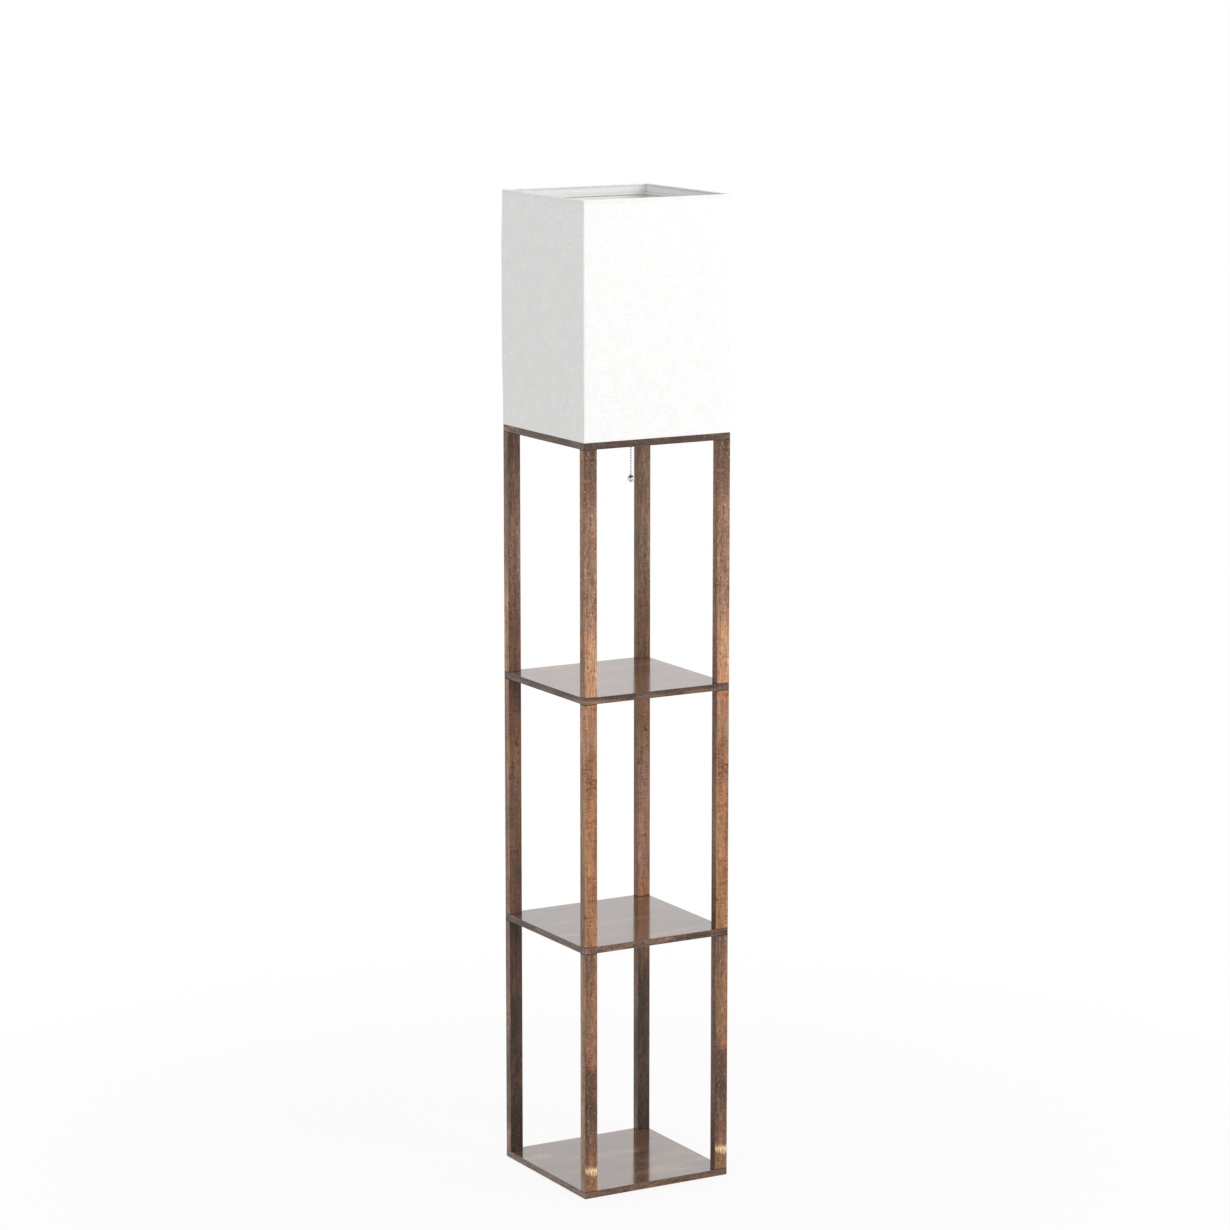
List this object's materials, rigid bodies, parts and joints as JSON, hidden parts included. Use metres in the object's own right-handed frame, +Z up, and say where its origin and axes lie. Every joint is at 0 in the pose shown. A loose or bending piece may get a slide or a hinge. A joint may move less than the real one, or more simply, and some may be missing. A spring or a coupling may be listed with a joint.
{
  "type": "shelf floor lamp",
  "caption": "Tall square floor lamp with open shelves between dark wood boards and posts, a linen box shade on top and a bead pull chain that works its switch.",
  "frame": {"origin": "on the floor, under the centre of the base", "axes": "+Z up; the wide faces of the posts look along -Y and +Y; the pull chain is on the +X side of the lampholder"},
  "size_m": [0.266, 0.266, 1.598],
  "materials": {
    "dark_laminate": "rustic brown wood-grain laminate, semi-gloss",
    "brown_felt": "pressed felt",
    "zinc_plated_steel": "zinc plate",
    "linen": "plain-woven linen",
    "styrene_liner": "smooth sheet",
    "white_coated_wire": "powder coat",
    "black_phenolic": "moulded gloss",
    "cream_thermoset": "moulded matt",
    "brass": "pressed and turned brass",
    "spring_steel": "drawn wire",
    "chrome_plate": "bright chrome plate",
    "aluminium": "rolled and anodised",
    "bulb_insulation": "black insulator",
    "white_bulb_body": "moulded satin",
    "opal_diffuser": "opal satin",
    "black_rubber": "moulded rubber"
  },
  "bodies": {
    "lamp": {"base_board": "dark_laminate", "lower_shelf": "dark_laminate", "middle_shelf": "dark_laminate", "top_board": "dark_laminate", "lower_post_front_left": "dark_laminate", "lower_post_front_right": "dark_laminate", "lower_post_back_left": "dark_laminate", "lower_post_back_right": "dark_laminate", "middle_post_front_left": "dark_laminate", "middle_post_front_right": "dark_laminate", "middle_post_back_left": "dark_laminate", "middle_post_back_right": "dark_laminate", "upper_post_front_left": "dark_laminate", "upper_post_front_right": "dark_laminate", "upper_post_back_left": "dark_laminate", "upper_post_back_right": "dark_laminate", "floor_pads": "brown_felt", "base_screws": "zinc_plated_steel", "lower_studs": "zinc_plated_steel", "middle_studs": "zinc_plated_steel", "top_screws": "zinc_plated_steel", "lower_post_inserts": "zinc_plated_steel", "middle_post_inserts": "zinc_plated_steel", "upper_post_inserts": "zinc_plated_steel", "lampholder_nipple": "zinc_plated_steel", "nipple_nuts": "zinc_plated_steel", "nipple_washer": "zinc_plated_steel", "shade_fabric": "linen", "shade_liner": "styrene_liner", "shade_top_ring": "white_coated_wire", "shade_bottom_ring": "white_coated_wire", "shade_spider": "white_coated_wire", "lampholder_cap": "black_phenolic", "lampholder_shell": "black_phenolic", "chain_outlet": "black_phenolic", "switch_block": "cream_thermoset", "screw_shell": "brass", "centre_contact": "brass", "terminal_screws": "brass", "lever_pin": "brass", "bulb_contact": "brass", "return_spring": "spring_steel", "chain_eyelet": "chrome_plate", "bulb_cap": "aluminium", "bulb_light_board": "aluminium", "bulb_insulator": "bulb_insulation", "bulb_housing": "white_bulb_body", "bulb_dome": "opal_diffuser", "cord_gland": "black_rubber"},
    "switch_lever": {"switch_lever": "brass"},
    "chain_upper": {"pull_chain_upper": "chrome_plate"},
    "chain_swivel": {"pull_chain_swivel": "chrome_plate"},
    "chain_end": {"pull_chain_end": "chrome_plate", "ball_collar": "chrome_plate", "pull_ball": "chrome_plate"}
  },
  "joints": [
    {"name": "chain_pull", "type": "slide", "parent": "lamp", "child": "chain_upper", "axis": [0, 0, -1], "range_m": [0, 0.008], "stiffness_N_per_m": 800, "springref_m": -0.004, "deforming": ["return_spring"]},
    {"name": "lever_turn", "type": "hinge", "parent": "lamp", "child": "switch_lever", "pos_m": [0.006, 0, 1.24878], "axis": [0, 1, 0], "range_deg": [0, 21.6]},
    {"name": "chain_swing_side", "type": "hinge", "parent": "chain_upper", "child": "chain_swivel", "pos_m": [0.0275, 0, 1.20243], "axis": [0, 1, 0], "range_deg": [-45, 45]},
    {"name": "chain_swing_front", "type": "hinge", "parent": "chain_swivel", "child": "chain_end", "pos_m": [0.0275, 0, 1.19363], "axis": [1, 0, 0], "range_deg": [-45, 45]}
  ],
  "couplings": [
    {"joint": "lever_turn", "follows": "chain_pull", "rad_per_m": 46.512}
  ]
}
